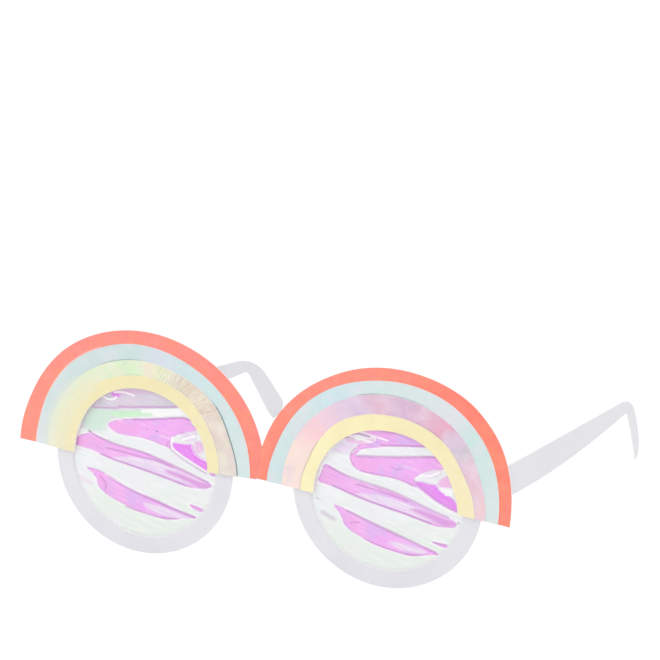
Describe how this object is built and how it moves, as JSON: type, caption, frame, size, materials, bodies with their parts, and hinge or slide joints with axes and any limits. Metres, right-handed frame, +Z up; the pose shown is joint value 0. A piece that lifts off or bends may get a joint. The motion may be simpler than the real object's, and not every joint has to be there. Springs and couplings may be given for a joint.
{
  "type": "diffraction glasses",
  "caption": "Card party glasses with round diffraction film lenses, layered rainbow arches over each lens and folding temples with ear hooks.",
  "frame": {"origin": "On the table that the glasses stand on, midway between the two lenses and below the face of the front card at lens height.", "axes": "+X is the viewer's right as the front is looked at, the front faces -Y with the temples running towards +Y, and +Z is up."},
  "size_m": [0.1572, 0.1301, 0.0663],
  "materials": {
    "card": "pearlescent, satin",
    "adhesive": "double-sided film tape",
    "film": "iridescent diffraction film, wrinkled and glossy",
    "coral_paper": "matte, white core",
    "mint_paper": "pearlescent, satin",
    "green_foil_paper": "iridescent, green to pink, creased",
    "pink_foil_paper": "iridescent, peach to lilac, creased",
    "yellow_paper": "matte cream"
  },
  "bodies": {
    "front": {"front_card": "card", "rear_card": "card", "bond_sheet": "adhesive", "lens_film_left": "film", "lens_film_right": "film", "coral_arch_left": "coral_paper", "coral_arch_right": "coral_paper", "mint_arch_left": "mint_paper", "mint_arch_right": "mint_paper", "iridescent_arch_left": "green_foil_paper", "iridescent_arch_right": "pink_foil_paper", "yellow_arch_left": "yellow_paper", "yellow_arch_right": "yellow_paper", "glue_tab_left": "card", "glue_tab_right": "card", "tab_tape_left": "adhesive", "tab_tape_right": "adhesive"},
    "left_temple": {"temple_left": "card"},
    "right_temple": {"temple_right": "card"}
  },
  "joints": [
    {"name": "left_temple_fold", "type": "hinge", "parent": "front", "child": "left_temple", "pos_m": [-0.0704, 0.00195, 0.03453], "axis": [0, -0.0574, -0.9983], "range_deg": [-27, 78]},
    {"name": "right_temple_fold", "type": "hinge", "parent": "front", "child": "right_temple", "pos_m": [0.0704, 0.00195, 0.03453], "axis": [0, 0.0574, 0.9983], "range_deg": [-10, 92.5]}
  ]
}
